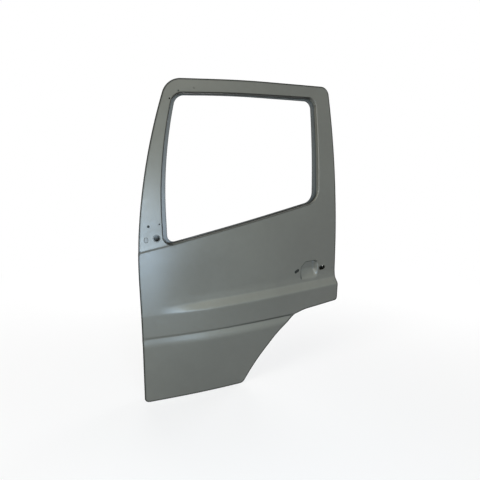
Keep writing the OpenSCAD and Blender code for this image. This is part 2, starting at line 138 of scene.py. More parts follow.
world = bpy.data.worlds.new("studio")
world.use_nodes = True
nodes, links = world.node_tree.nodes, world.node_tree.links
surround = nodes["Background"]
surround.inputs["Color"].default_value = (0.97, 0.98, 1.0, 1)
surround.inputs["Strength"].default_value = 0.04
seen = nodes.new("ShaderNodeBackground")
seen.inputs["Color"].default_value = WHITE
seen.inputs["Strength"].default_value = 1.0
either = nodes.new("ShaderNodeMixShader")
links.new(seen_directly(nodes, links), either.inputs["Fac"])
links.new(surround.outputs["Background"], either.inputs[1])
links.new(seen.outputs["Background"], either.inputs[2])
links.new(either.outputs["Shader"], nodes["World Output"].inputs["Surface"])
scene.world = world

soft_box("low", (-0.2, -2.1, 0.25), (0.1, 0, 0.42), (0.8, 1.1), 30, (0.5, 0.73, 1.0))
soft_box("facing", (-0.5, -2.3, 0.6), (0, 0, 0.4), (1.2, 0.8), 19, (0.98, 1.0, 0.9))
soft_box("side", (-3.0, -1.1, 1.75), (0.6, 0, 0.75), (1.6, 1.6), 98, (1.0, 0.985, 0.94))
soft_box("overhead", (0.2, -1.3, 3.0), (0.5, 0, 0.2), (1.8, 1.2), 9, (1.0, 0.95, 0.86))
soft_box("behind", (0.7, 2.9, 0.15), (0.5, 0, 0.15), (2.4, 1.2), 120)
soft_box("latch_edge", (3.3, 0.9, 0.7), (1.0, 0.03, 0.3), (1.0, 1.4), 55)
scene.view_settings.view_transform = "Standard"

# Outer skin. Deep-drawn steel sheet in grey dip primer: crowned, with a pressed
# shelf, crease and belt line, a turned-in window lip and a dished handle pocket.
# Its edge is hemmed round the inner pressings.

# Sizes are in millimetres, x from the door's front edge, z from its lowest edge
# and y inward from the skin. The frame's origin is the point HINGE_FACE.
HINGE_FACE = np.array([16.0, 57.0, 370.0])
DOOR_W, DOOR_H, SHEET = 1056.0, 1474.0, 1.2
CROWN_X, CROWN_R, REAR_R, TOE = 650.0, 4200.0, 12000.0, 22.0
LEAN_Z, LEAN_R = 650.0, 3100.0
SHELF_OUT, SHELF_Z, CREASE_Z, BELT_Z = 31.0, 436.0, 332.0, 734.0
FADE_X, FADE_WIDTH = 60.0, 300.0
BELT_STEP, BELT_END_X, BELT_FADE = 3.0, 170.0, 90.0
SILL_X, SILL_Z, SILL_RISE = 116.0, 752.0, 0.186
HEM_WIDTH, HEM_DEPTH = 11.0, 3.8
LIP_RADIUS, SILL_LIP, SIDE_LIP = 3.2, 12.0, 23.0
POCKET_X, POCKET_Z, POCKET_W, POCKET_H, POCKET_DEPTH = 883.0, 546.0, 108.0, 96.0, 26.0
POCKET_CORNER, POCKET_CUT = 20.0, 26.0
POCKET_WALL, POCKET_SLANT, POCKET_RUN_OUT = 7.0, 24.0, 56.0


def sill_at(x):
    return SILL_Z + SILL_RISE * (x - SILL_X)


# Outlines are corners of x, z and the radius that rounds them
DOOR_EDGE = [(0, 0, 22), (495, 0, 30), (560, 110, 900), (690, 262, 560), (800, 342, 220), (DOOR_W, 360, 16),
             (DOOR_W - 18, 900, 4000), (DOOR_W - 34, DOOR_H - 12, 42), (540, DOOR_H, 6000),
             (182, DOOR_H - 5, 96), (0, 1014, 2180)]
WINDOW_EDGE = [(SILL_X, SILL_Z, 38), (927, sill_at(927), 75), (940, 1404, 42), (480, 1412, 5000),
               (205, 1407, 58), (SILL_X, 1123, 1650)]


def smooth(t):
    t = np.clip(t, 0, 1)
    return t * t * (3 - 2 * t)


LEVELS = np.arange(-100, 1700, 0.5)


def pressed_line(knots, radius):
    """A line of straight runs with its corners rounded, as a function of the level."""
    line = np.interp(LEVELS, *zip(*knots))
    kernel = np.exp(-0.5 * (np.arange(-4 * radius, 4 * radius + 0.25, 0.5) / radius) ** 2)
    line = np.convolve(np.pad(line, len(kernel) // 2, mode="edge"), kernel / kernel.sum(), mode="valid")
    return lambda v: np.interp(v, LEVELS, line)


rear_line = pressed_line([(0, 0.13), (CREASE_Z - 37, 0.94), (CREASE_Z - 4, 0.61), (CREASE_Z + 2, 0.8),
                          (SHELF_Z + 4, 1), (SHELF_Z + 35, 0.13), (SHELF_Z + 68, 0)], 2.5)
front_line = pressed_line([(0, 0.06), (CREASE_Z - 37, 0.52), (CREASE_Z - 4, 0.4), (CREASE_Z + 2, 0.48),
                           (SHELF_Z + 4, 0.52), (560, 0.32), (700, 0.06), (750, 0)], 3.0)
belt_line = pressed_line([(BELT_Z - 6, 0), (BELT_Z, 1), (BELT_Z + 60, 0)], 1.5)
# How far the lines pressed at a level have risen by the rear edge
RISES = [(340, 0), (440, 16), (520, 16), (BELT_Z, 190), (BELT_Z + 60, 190), (1300, 0)]


def level_of(x, z):
    """The shelf and the sill rise to the rear: the level is a point's height before that rise."""
    share, level = x / DOOR_W, np.array(z, float)
    for (v0, r0), (v1, r1) in zip(RISES, RISES[1:]):
        z0, z1 = v0 + r0 * share, v1 + r1 * share
        level = np.where((z > z0) & (z <= z1), v0 + (z - z0) * (v1 - v0) / (z1 - z0), level)
    return level


def belt_step(x, level):
    return BELT_STEP * belt_line(level) * (1 - smooth((x - BELT_END_X) / BELT_FADE))


def skin(x, z):
    """How far inward the sheet lies: crown, toe-in, lean, belt, and the shelf that fades to the front."""
    v, rear = level_of(x, z), smooth((x - FADE_X) / FADE_WIDTH)
    crown = np.where(x < CROWN_X, (CROWN_X - x) ** 2 / (2 * CROWN_R), (x - CROWN_X) ** 2 / (2 * REAR_R))
    lean = np.where(z > LEAN_Z, (z - LEAN_Z) ** 2 / (2 * LEAN_R), 0)
    shelf = SHELF_OUT * (rear * rear_line(v) + (1 - rear) * front_line(v))
    return crown - TOE * (1 - x / DOOR_W) + lean - belt_step(x, v) - shelf


def inside_pocket(x, z):
    """How far in from the pocket's mouth a place lies; the mouth's upper front corner is cut off."""
    low = POCKET_Z - POCKET_H / 2
    half_w, half_h = POCKET_W / 2 - POCKET_CORNER, POCKET_H - POCKET_CORNER
    across, along = np.abs(x - POCKET_X) - half_w, np.abs(z - low) - half_h
    past_corner = np.hypot(np.maximum(across, 0), np.maximum(along, 0))
    inside = POCKET_CORNER - past_corner - np.minimum(np.maximum(across, along), 0)
    cut = ((x - (POCKET_X - POCKET_W / 2)) + (low + POCKET_H - z) - POCKET_CUT) / math.sqrt(2)
    return np.minimum(inside, cut), (z - low) / POCKET_RUN_OUT


def pocket(x, z):
    """The handle pocket: steep at the front and top, slanted at the rear, running out at the bottom."""
    inside, height = inside_pocket(x, z)
    slant = (POCKET_X + POCKET_W / 2 - x) / POCKET_SLANT
    return POCKET_DEPTH * smooth(inside / POCKET_WALL) * smooth(slant) * smooth(height)


def painted_pocket_shade(points):
    """Painted shade along the pocket's steep front and top, whose walls face away from the light."""
    x, z = points.T
    inside, height = inside_pocket(x, z)
    band = smooth((inside + 3.5) / 2.5) * smooth((6.5 - inside) / 3)
    return band * smooth(4 * height) * smooth((POCKET_X + 36 - x) / 12)


def crease_shade(points):
    """Painted shade under the crease, stronger to the rear, where it is pressed deeper."""
    x, z = points.T
    off = np.abs(level_of(x, z) - CREASE_Z + 1)
    return (0.12 + 0.7 * smooth((x - 200) / 480)) * smooth((7 - off) / 5.5)


def dished_skin(x, z):
    return skin(x, z) + pocket(x, z)


def outline(corners, step=9.0):
    """Points round an outline of (x, z, fillet radius) corners, and the normal into it at each."""
    table = np.array(corners, float)
    flat, count = table[:, :2], len(table)
    arcs = []
    for i in range(count):
        before, here, after = flat[i - 1], flat[i], flat[(i + 1) % count]
        u = (here - before) / np.linalg.norm(here - before)
        v = (after - here) / np.linalg.norm(after - here)
        bend, radius = math.atan2(u[0] * v[1] - u[1] * v[0], u @ v), table[i, 2]
        across = np.array([-u[1], u[0]])
        start = here - u * radius * math.tan(abs(bend) / 2)
        centre = start + math.copysign(radius, bend) * across
        parts = max(2, math.ceil(abs(bend) * radius / step), math.ceil(abs(bend) / 0.14))
        angles = bend * np.arange(parts + 1) / parts
        c, s = np.cos(angles), np.sin(angles)
        inward = np.stack([c * across[0] - s * across[1], s * across[0] + c * across[1]], 1)
        arcs.append((centre - math.copysign(radius, bend) * inward, inward))
    points, normals = [], []
    for (p, n), (q, _) in zip(arcs, arcs[1:] + arcs[:1]):
        points.append(p)
        normals.append(n)
        parts = max(1, round(float(np.linalg.norm(q[0] - p[-1])) / step))
        between = np.arange(1, parts)[:, None] / parts
        points.append(p[-1] + between * (q[0] - p[-1]))
        normals.append(np.repeat(n[-1:], parts - 1, axis=0))
    return np.vstack(points), np.vstack(normals)


def circle(x, z, radius, count=40):
    angle = np.arange(count) * 2 * math.pi / count
    inward = -np.stack([np.cos(angle), np.sin(angle)], 1)
    return np.array([x, z]) - radius * inward, inward


def rounded_box(x0, z0, x1, z1, radius):
    return [(x0, z0, radius), (x1, z0, radius), (x1, z1, radius), (x0, z1, radius)]


def within(loops, points):
    """Is each point inside an odd number of these closed loops?"""
    odd = np.zeros(len(points), bool)
    x, z = points[:, 0], points[:, 1]
    for loop in loops:
        for (x0, z0), (x1, z1) in zip(loop, np.roll(loop, -1, axis=0)):
            if z0 != z1:
                hit = ((z0 > z) != (z1 > z)) & (x < x0 + (z - z0) * (x1 - x0) / (z1 - z0))
                odd ^= hit
    return odd


def away(loops, points, least):
    """Points at least that far from every corner of the loops and from the middle of every side."""
    marks = np.vstack([np.vstack([loop, (loop + np.roll(loop, -1, axis=0)) / 2]) for loop in loops])
    keep = np.ones(len(points), bool)
    for part in np.array_split(np.arange(len(points)), max(1, len(points) // 400)):
        gap = points[part][:, None] - marks[None]
        keep[part] = (gap ** 2).sum(2).min(1) > least ** 2
    return keep


def regions_between(triangles, fences):
    """Groups of triangles that can be reached from each other without crossing a fence."""
    fenced = {frozenset(edge) for edge in fences}
    sharing = {}
    for k, (a, b, c) in enumerate(triangles.tolist()):
        for edge in (frozenset((a, b)), frozenset((b, c)), frozenset((c, a))):
            if edge not in fenced:
                sharing.setdefault(edge, []).append(k)
    beside = {}
    for pair in sharing.values():
        if len(pair) == 2:
            beside.setdefault(pair[0], []).append(pair[1])
            beside.setdefault(pair[1], []).append(pair[0])
    left, regions = set(range(len(triangles))), []
    while left:
        region = [left.pop()]
        for k in region:
            region.extend(n for n in beside.get(k, ()) if n in left)
            left.difference_update(beside.get(k, ()))
        regions.append(region)
    return regions


class Pressing:
    """One side of a folded sheet, put together from rings and filled areas, and thickened at the end."""

    def __init__(self):
        self.points, self.faces, self.painted_shades = [], [], []

    def add(self, points, painted_shade=0.0):
        first = len(self.points)
        self.points.extend(np.asarray(points, float).tolist())
        self.painted_shades.extend(np.broadcast_to(painted_shade, len(points)).tolist())
        return list(range(first, len(self.points)))

    def bridge(self, near, far, closed=True):
        count = len(near)
        for i in range(count if closed else count - 1):
            j = (i + 1) % count
            self.faces.append((near[i], near[j], far[j], far[i]))

    def fill(self, loops, flat, inner, inner_points, painted_shade=0.0):
        """Triangles between closed loops of point numbers. flat holds the loops' own plan points."""
        plan = np.vstack(flat + [inner]) if len(inner) else np.vstack(flat)
        numbers = [n for loop in loops for n in loop] + self.add(inner_points, painted_shade)
        edges, first = [], 0
        for loop in flat:
            edges += [(first + i, first + (i + 1) % len(loop)) for i in range(len(loop))]
            first += len(loop)
        vectors = [Vector(p) for p in plan.tolist()]
        places, _, triangles, origin, _, _ = delaunay_2d_cdt(vectors, edges, [], 0, 1e-6)
        crossings = [tuple(round(c, 1) for c in places[i]) for i, o in enumerate(origin) if not o]
        if crossings:
            raise ValueError(f"the loops cross or touch near {crossings[:5]}")
        corners = np.array([[origin[i][0] for i in t] for t in triangles])
        for region in regions_between(corners, edges):
            a, b, c = plan[corners[region]].transpose(1, 0, 2)
            u, v = b - a, c - a
            size = np.abs(u[:, 0] * v[:, 1] - u[:, 1] * v[:, 0])
            largest = region[int(size.argmax())]
            if size.max() > 0.05 and within(flat, plan[corners[largest]].mean(0)[None])[0]:
                self.faces.extend(tuple(numbers[i] for i in corners[k]) for k in region)

    def build(self, name, material, slot, thickness=SHEET, outward=-1, sharp=35):
        """Turns it into an object. outward is the y direction that the drawn side faces."""
        mesh = bpy.data.meshes.new(name)
        mesh.from_pydata(((np.array(self.points) - HINGE_FACE) / 1000).tolist(), [], self.faces)
        # A point attribute of painted shade, by which the primer darkens edges, holes and recesses
        mesh.attributes.new("painted_shade", "FLOAT", "POINT").data.foreach_set("value", self.painted_shades)
        made = bpy.data.objects.new(name, mesh)
        scene.collection.objects.link(made)
        shell = bmesh.new()
        shell.from_mesh(mesh)
        bmesh.ops.remove_doubles(shell, verts=shell.verts, dist=1e-6)
        bmesh.ops.recalc_face_normals(shell, faces=shell.faces)
        shell.to_mesh(mesh)
        shell.free()
        facing = sum(p.normal.y * p.area for p in mesh.polygons)
        if facing * outward < 0:
            mesh.flip_normals()
        solid = made.modifiers.new("thickness", "SOLIDIFY")
        solid.thickness, solid.offset, solid.use_even_offset = thickness / 1000, -1, False
        return self.finish(made, material, slot, sharp)

    @staticmethod
    def finish(made, material, slot, sharp):
        """Applies the thickness, and gives the piece its shading, material and body. The slot is not used."""
        shaped = bpy.data.meshes.new_from_object(made.evaluated_get(bpy.context.evaluated_depsgraph_get()))
        made.modifiers.clear()
        made.data = shaped
        shaped.shade_smooth()
        shaped.set_sharp_from_angle(angle=math.radians(sharp))
        shaped.materials.clear()
        shaped.materials.append(material)
        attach(made, "root")
        return made


def primer(name, colour, roughness, seed):
    """Dip primer on pressed steel: satin, mottled, with painted light making it paler where it faces up, and
    painted shade darkening it along edges.
    """
    made = bpy.data.materials.new(name)
    made.use_nodes = True
    nodes, links = made.node_tree.nodes, made.node_tree.links
    shader = nodes["Principled BSDF"]
    place = nodes.new("ShaderNodeTexCoord")

    def noise(scale, detail, rough):
        node = nodes.new("ShaderNodeTexNoise")
        node.noise_dimensions = "4D"
        node.inputs["W"].default_value = seed
        node.inputs["Scale"].default_value = scale
        node.inputs["Detail"].default_value = detail
        node.inputs["Roughness"].default_value = rough
        links.new(place.outputs["Object"], node.inputs["Vector"])
        return node.outputs["Fac"]

    def spread(value, low, high):
        return remap(nodes, links, value, (0.3, 0.7), (low, high))

    def product(a, b):
        node = nodes.new("ShaderNodeMath")
        node.operation = "MULTIPLY"
        links.new(a, node.inputs[0])
        links.new(b, node.inputs[1])
        return node.outputs["Value"]

    cloud, mottle, grain = noise(3.5, 3, 0.5), noise(38, 5, 0.6), noise(900, 2, 0.5)
    tone = product(spread(cloud, 0.93, 1.07), spread(mottle, 0.97, 1.03))
    tone = product(tone, spread(grain, 0.985, 1.015))
    # Painted light: sides facing up are made paler and sides facing down darker
    tilt = nodes.new("ShaderNodeSeparateXYZ")
    links.new(place.outputs["Normal"], tilt.inputs["Vector"])
    tone = product(tone, remap(nodes, links, tilt.outputs["Z"], (-0.12, 0.5), (0.72, 1.5)))
    # Painted shade: the point attribute of painted shade darkens the primer and also cuts its gloss
    edge = nodes.new("ShaderNodeAttribute")
    edge.attribute_name = "painted_shade"
    painted_shade_level = edge.outputs["Fac"]
    tone = product(tone, remap(nodes, links, painted_shade_level, (0, 1), (1.0, 0.22)))
    links.new(remap(nodes, links, painted_shade_level, (0, 1), (0.6, 0.08)), shader.inputs["Specular IOR Level"])
    links.new(remap(nodes, links, painted_shade_level, (0, 1), (0.12, 0.0)), shader.inputs["Coat Weight"])
    tint = nodes.new("ShaderNodeVectorMath")
    tint.operation = "SCALE"
    tint.inputs[0].default_value = colour
    links.new(tone, tint.inputs["Scale"])
    links.new(tint.outputs["Vector"], shader.inputs["Base Color"])
    links.new(product(spread(mottle, roughness - 0.04, roughness + 0.05), spread(cloud, 0.95, 1.05)),
              shader.inputs["Roughness"])
    bump = nodes.new("ShaderNodeBump")
    bump.inputs["Strength"].default_value = 0.08
    bump.inputs["Distance"].default_value = 0.0002
    links.new(grain, bump.inputs["Height"])
    links.new(bump.outputs["Normal"], shader.inputs["Normal"])
    shader.inputs["Coat Roughness"].default_value = 0.28
    return made


def stand(points, depth, surface=skin):
    """3-D points that stand a depth behind a surface, square to it."""
    x, z = points[:, 0], points[:, 1]
    slope_x = (surface(x + 1, z) - surface(x - 1, z)) / 2
    slope_z = (surface(x, z + 1) - surface(x, z - 1)) / 2
    scale = depth / np.sqrt(1 + slope_x ** 2 + slope_z ** 2)
    return np.stack([x - slope_x * scale, surface(x, z) + scale, z - slope_z * scale], 1)


def plan_of(loop, inset):
    points, normals = loop
    return points + inset * normals


def lay_rings(sheet, loop, path, surface=skin, painted_shades=()):
    """Rings along a path of (inset, depth) pairs, joined one to the next. Returns the first and last."""
    rings = []
    for k, (inset, depth) in enumerate(path):
        painted_shade = painted_shades[min(k, len(painted_shades) - 1)] if painted_shades else 0
        rings.append(sheet.add(stand(plan_of(loop, inset), depth, surface), painted_shade))
    for near, far in zip(rings, rings[1:]):
        sheet.bridge(near, far)
    return rings[0], rings[-1]


def quarter(inset0, depth0, inset1, depth1, parts=5, first="inset"):
    """Points of a quarter turn between two places of a path; first is the way it sets off."""
    angle = np.arange(1, parts + 1) * math.pi / 2 / parts
    lead, lag = np.sin(angle), 1 - np.cos(angle)
    a, b = (lead, lag) if first == "inset" else (lag, lead)
    return [(inset0 + (inset1 - inset0) * s, depth0 + (depth1 - depth0) * t) for s, t in zip(a, b)]


skin_sheet = Pressing()
door_loop = outline(DOOR_EDGE)
fold = HEM_DEPTH / 2
hem_path = [(9, 0), (6, 0), (3.4, 0), (fold, 0)]
hem_path += quarter(fold, 0, 0, fold, 4) + quarter(0, fold, fold, HEM_DEPTH, 4, "depth")
hem_path += [(5, HEM_DEPTH), (HEM_WIDTH, HEM_DEPTH)]
# Painted shade darkens the hem's rounded edge into a dark outline round the door
door_ring, _ = lay_rings(skin_sheet, door_loop, hem_path, painted_shades=[0, 0.45, 1])
window_loop = outline(WINDOW_EDGE)
# Painted shade on the lip, left off its rear side, which faces the front and the light
lip_path = [(-7, 0), (-LIP_RADIUS, 0)] + quarter(-LIP_RADIUS, 0, 0, LIP_RADIUS, 5)
lip_shade = np.clip(1 + 1.5 * window_loop[1][:, 0], 0, 1)
over_sill = smooth((window_loop[0][:, 1] - sill_at(window_loop[0][:, 0]) - 25) / 40)
lip_path += [(0, 7), (0, SILL_LIP + (SIDE_LIP - SILL_LIP) * over_sill)]
window_ring, _ = lay_rings(skin_sheet, window_loop, lip_path, painted_shades=[0, 0.9 * lip_shade, lip_shade])
loops = [door_ring, window_ring]
flat = [plan_of(door_loop, hem_path[0][0]), plan_of(window_loop, lip_path[0][0])]

# Holes with a drawn edge: two for the mirror, and the slot for the handle's lever
HOLE_BEND = 1.2
MIRROR_HOLE = (87, 792)
drawn_holes = [circle(*MIRROR_HOLE, 15), outline(rounded_box(33.5, 776.5, 48.5, 797.5, 7.4), 3),
               outline([(793, 539, 6.5), (817, 551, 6.5), (811, 563, 6.5), (787, 551, 6.5)], 3)]
drawn_path = [(-2 * HOLE_BEND, 0), (-HOLE_BEND, 0)] + quarter(-HOLE_BEND, 0, 0, HOLE_BEND, 3) + [(0, 2.2)]
for hole in drawn_holes:
    # Painted shade darkens each hole's drawn edge
    ring, _ = lay_rings(skin_sheet, hole, drawn_path, painted_shades=[0, 0.5, 1])
    loops.append(ring)
    flat.append(plan_of(hole, drawn_path[0][0]))

# Plain punched holes: screws, trim clips, and the oval for the lock
MIRROR_SCREWS = [(102, 853, 4.0), (54, 846, 6.0)]
TRIM_HOLES = [(187, 1383, 3.5), (229, 1416, 3.5), (300, 1429, 3.0),
              (1027, 540, 4.0), (1030, 470, 3.0), (1040, 385, 3.0)]
LOCK_Z, LOCK_HALF_H = 549, 12
LOCK_NOSE, LOCK_TAIL = (955, 13), (966, 16)


def lock_oval(count=56):
    """An oval of two half ellipses, the front one blunter."""
    angle = np.arange(count) * 2 * math.pi / count
    middle, reach = np.where(np.cos(angle)[:, None] < 0, LOCK_NOSE, LOCK_TAIL).T
    return np.stack([middle + reach * np.cos(angle), LOCK_Z + LOCK_HALF_H * np.sin(angle)], 1)


lock_edge = lock_oval()
cut_holes = [circle(x, z, r, 20)[0] for x, z, r in MIRROR_SCREWS + TRIM_HOLES] + [lock_edge]
for hole in cut_holes:
    loops.append(skin_sheet.add(stand(hole, 0, dished_skin)))
    flat.append(hole)


def rows_between(*bands):
    return np.concatenate([np.arange(low, high, step) for low, high, step in bands])


def grid(columns, levels):
    """Places in rows that rise to the rear with the pressed lines."""
    x, v = np.meshgrid(columns, levels)
    rise = np.interp(v, *zip(*RISES))
    return np.stack([x.ravel(), (v + rise * x / DOOR_W).ravel()], 1)


# The mesh is closer where the sheet bends: at the crease, the shelf, the belt and the pocket
PATCH_W, PATCH_H, PATCH_STEP = 70, 62, 2.1
coarse = grid(np.arange(6, DOOR_W, 12.0), rows_between(
    (6, 320, 12), (320, 344, 2.0), (344, 428, 10.5), (428, 496, 4),
    (496, 724, 12), (724, 744, 1.6), (744, 1480, 12)))
near_pocket = (np.abs(coarse[:, 0] - POCKET_X) < PATCH_W) & (np.abs(coarse[:, 1] - POCKET_Z) < PATCH_H)
x, z = np.meshgrid(np.arange(POCKET_X - PATCH_W + 1, POCKET_X + PATCH_W, PATCH_STEP),
                   np.arange(POCKET_Z - PATCH_H + 1, POCKET_Z + PATCH_H, PATCH_STEP))
fine = np.stack([x.ravel(), z.ravel()], 1)
inner = np.vstack([coarse[~near_pocket], fine])
inner = inner[within(flat, inner)]
inner = inner[away(flat, inner, 1.9)]
# The skin gets painted shade along the pocket's front and top and under the crease
skin_sheet.fill(loops, flat, inner, stand(inner, 0, dished_skin),
                np.maximum(painted_pocket_shade(inner), crease_shade(inner)))
outer_primer = primer("outer_primer", (0.107, 0.105, 0.086), 0.36, 1.0)
outer_skin = skin_sheet.build("outer_skin_pressing", outer_primer, "outer_primer")
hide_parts("outer_skin")

# Plates behind the skin. Two flat steel pressings spot welded to its back: one
# carries the handle and the lock, the other the mirror. They are primed with the
# door, and carry painted shade where the skin's holes show them.
BACK_OF_SKIN = SHEET + 0.1
inner_primer = primer("inner_primer", (0.098, 0.1, 0.093), 0.44, 4.0)


def backing(name, corners, thickness, holes, painted_shade_spots):
    """A plate lying against the skin. The last argument lists the places painted dark as shade: x, z and how
    far they reach.
    """
    sheet, loop = Pressing(), outline(corners, 7)
    ring, _ = lay_rings(sheet, loop, [(1.0, BACK_OF_SKIN), (0, BACK_OF_SKIN + 0.4)])
    rings, flat = [ring], [plan_of(loop, 1.0)]
    for hole in holes:
        rings.append(sheet.add(stand(hole, BACK_OF_SKIN)))
        flat.append(hole)
    low, high = loop[0].min(0), loop[0].max(0)
    x, z = np.meshgrid(np.arange(low[0] + 3, high[0], 6.0), np.arange(low[1] + 3, high[1], 6.0))
    inner = np.stack([x.ravel(), z.ravel()], 1)
    inner = inner[within(flat, inner)]
    inner = inner[away(flat, inner, 2.5)]
    painted_dark = np.zeros(len(inner))
    for hx, hz, reach in painted_shade_spots:
        painted_dark = np.maximum(painted_dark, 1 - smooth((np.hypot(*(inner - (hx, hz)).T) - reach) / 8))
    sheet.fill(rings, flat, inner, stand(inner, BACK_OF_SKIN), painted_dark)
    made = sheet.build(name + "_pressing", inner_primer, "inner_primer", thickness)
    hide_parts(name)


round_pocket = outline([(POCKET_X - 56, POCKET_Z - 50, 20), (POCKET_X + 56, POCKET_Z - 50, 20),
                        (POCKET_X + 56, POCKET_Z + 51, 20), (POCKET_X - 30, POCKET_Z + 51, 16),
                        (POCKET_X - 56, POCKET_Z + 25, 16)], 5)[0]
round_lock = lock_edge + 1.5 / LOCK_NOSE[1] * (lock_edge - lock_edge.mean(0)) + (4, 0)
# Painted shade on the plates behind the handle's lever slot and a mirror screw hole
backing("handle_plate", rounded_box(778, 478, 1012, 608, 20), 1.5,
        [round_pocket, round_lock], [(795, 548, 11), (809, 554, 11)])
backing("mirror_plate", [(28, 748, 12), (104, 763, 12), (108, 875, 12), (42, 878, 10)], 2.0,
        [circle(*MIRROR_HOLE, 13.2)[0], circle(102, 853, 3.2, 16)[0]], [(54, 846, 9)])

# Inner panel. One deep steel pressing under the belt, with a sunk field round the
# service openings, a speaker ring and a bead. The skin's hem is folded over its
# flange, and its walls carry the hinges, the check strap and the latch.
WALL_INSET, LATCH_X, INNER_Y, FRAME_LAP = 16.0, 1020.0, 86.0, 60.0
FLANGE_DEPTH, FOOT_RADIUS, CREST_RADIUS = 2.5, 4.0, 6.0
PRESS_DEPTH, OPENING_LIP = 5.0, 6.0
FRAME_DEPTH = 46.0
HINGE_Y, HINGE_HALF_W, HINGE_HALF_H, HINGE_LEVELS = 57.0, 13.0, 30.0, (140, 600)
LATCH_Y, LATCH_Z, LATCH_CIRCLE_R = 45.5, 548.0, 32.0
FRONT_WALL, REAR_WALL = (45, 665), (385, 820)
SPEAKER, SPEAKER_R, SPEAKER_RING = (200.0, 215.0), 80.0, 97.0
LATCH_EDGE = LATCH_X + WALL_INSET
LOWER_EDGE = [(0, 0, 32)] + DOOR_EDGE[1:5] + [(LATCH_EDGE, 358.6, 32)]


def split_at(x):
    """The line under the sill where the inner panel meets the window frame."""
    return sill_at(x) - FRAME_LAP


def ledge_corner(x):
    return (x, split_at(x) + WALL_INSET * math.hypot(1, SILL_RISE), 32)


def run_of(mask):
    """The point numbers of a loop's one unbroken run, in order."""
    start = next(i for i in range(len(mask)) if mask[i] and not mask[i - 1])
    return [(start + k) % len(mask) for k in range(int(mask.sum()))]


def depth_inside(loop, points):
    """How far each point lies inside a closed loop; negative outside."""
    nearest = np.full(len(points), 1e9)
    for a, b in zip(loop, np.roll(loop, -1, axis=0)):
        along = np.clip(((points - a) @ (b - a)) / max((b - a) @ (b - a), 1e-9), 0, 1)
        nearest = np.minimum(nearest, np.hypot(*(points - a - along[:, None] * (b - a)).T))
    return np.where(within([loop], points), nearest, -nearest)


FIELD_LOOP = outline([(160, 400, 50), (912, 400, 50), (912, 752, 60), (160, 645, 50)], 7)
BEAD_LOOP = outline(rounded_box(330, 338, 560, 362, 11.9), 4)
FIELD, BEAD = FIELD_LOOP[0], BEAD_LOOP[0]


def inner_face(x, z):
    """The inner side, which is flat but for what is pressed into it."""
    points = np.stack([np.ravel(x), np.ravel(z)], 1)
    ring = SPEAKER_RING - np.hypot(points[:, 0] - SPEAKER[0], points[:, 1] - SPEAKER[1])
    sunk = np.maximum(smooth((depth_inside(FIELD, points) + 1) / 8), smooth((ring + 1) / 8))
    sunk = np.maximum(sunk, smooth((depth_inside(BEAD, points) + 1) / 9))
    return INNER_Y - PRESS_DEPTH * sunk


panel = Pressing()
panel_loop = outline(LOWER_EDGE + [ledge_corner(LATCH_EDGE), ledge_corner(0)])
points, normals = panel_loop
under_ledge = normals[:, 1] < -0.975
lower = run_of(~under_ledge)
foot = [(WALL_INSET - FOOT_RADIUS, FLANGE_DEPTH)]
foot += quarter(WALL_INSET - FOOT_RADIUS, FLANGE_DEPTH, WALL_INSET, FLANGE_DEPTH + FOOT_RADIUS, 4)
feet = [stand(plan_of(panel_loop, inset), depth) for inset, depth in foot]
wall_plan = plan_of(panel_loop, WALL_INSET)
feet[-1] = np.where(under_ledge[:, None], stand(wall_plan, FRAME_DEPTH), feet[-1])
feet[-1][:, [0, 2]] = wall_plan
rings = [panel.add(f[lower]) for f in feet[:-1]] + [panel.add(feet[-1])]
for near, far in zip(rings, rings[1:-1]):
    panel.bridge(near, far, closed=False)
panel.bridge(rings[-2], [rings[-1][i] for i in lower], closed=False)


def level_ring(sheet, loop, inset, y):
    plan = plan_of(loop, inset)
    return sheet.add(np.stack([plan[:, 0], np.full(len(plan), y), plan[:, 1]], 1))


crest = [(WALL_INSET, INNER_Y - CREST_RADIUS)]
crest += quarter(WALL_INSET, INNER_Y - CREST_RADIUS, WALL_INSET + CREST_RADIUS, INNER_Y, 5, "depth")
crest += [(WALL_INSET + CREST_RADIUS + 3, INNER_Y)]
crest_rings = [level_ring(panel, panel_loop, *c) for c in crest]
for near, far in zip(crest_rings, crest_rings[1:]):
    panel.bridge(near, far)


def wall_strip(sheet, run, base, top, holes):
    """The wall along one run of the loop, flat enough to be cut out of a plane with its holes."""
    count = len(base)
    chosen = [(run[0] + k) % count for k in range((run[-1] - run[0]) % count + 1)]
    low = np.array([sheet.points[base[i]] for i in chosen])
    high = np.array([sheet.points[top[i]] for i in chosen])
    plan_loop = np.vstack([low[:, 1:], high[::-1, 1:]])
    numbers = [base[i] for i in chosen] + [top[i] for i in chosen[::-1]]
    height = np.argsort(low[:, 2])

    def on_wall(flat):
        x = np.interp(flat[:, 1], low[height, 2], low[height, 0])
        return np.stack([x, flat[:, 0], flat[:, 1]], 1)

    loops, flats = [numbers], [plan_loop]
    for hole in holes:
        loops.append(sheet.add(on_wall(hole)))
        flats.append(hole)
    sheet.fill(loops, flats, np.zeros((0, 2)), np.zeros((0, 3)))
    return chosen


